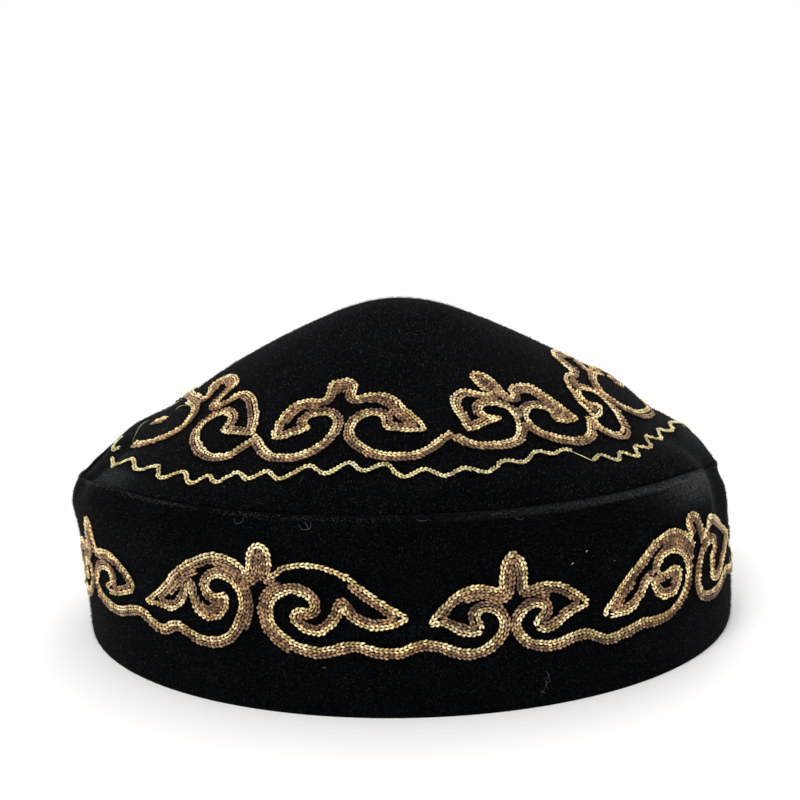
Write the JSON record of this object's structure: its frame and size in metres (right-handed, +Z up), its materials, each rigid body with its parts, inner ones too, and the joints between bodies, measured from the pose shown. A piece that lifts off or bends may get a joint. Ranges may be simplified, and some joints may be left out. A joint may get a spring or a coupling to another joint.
{
  "type": "kufi cap",
  "caption": "Brimless oval velvet cap in kufi shape: upright band with a flat hem, low domed crown and scrolling chain stitch embroidery.",
  "frame": {"origin": "middle of the cap's box at the level of the hem, on the surface that the cap stands on", "axes": "+X along the longer side of the oval, to the right as seen from the front; -Y to the front; +Z up"},
  "size_m": [0.204, 0.1746, 0.0968],
  "materials": {
    "band_velvet": "black velvet with short pile and a grey-brown sheen at the edges",
    "crown_velvet": "black velvet with short pile and a grey-brown sheen at the edges",
    "gold_thread": "pale gold cotton thread in chain stitch",
    "brown_thread": "brown to rust variegated thread in chain stitch",
    "inside_cloth": "plain dark cloth side of the velvet"
  },
  "bodies": {
    "root": {"band": "band_velvet", "crown": "crown_velvet"}
  },
  "joints": []
}
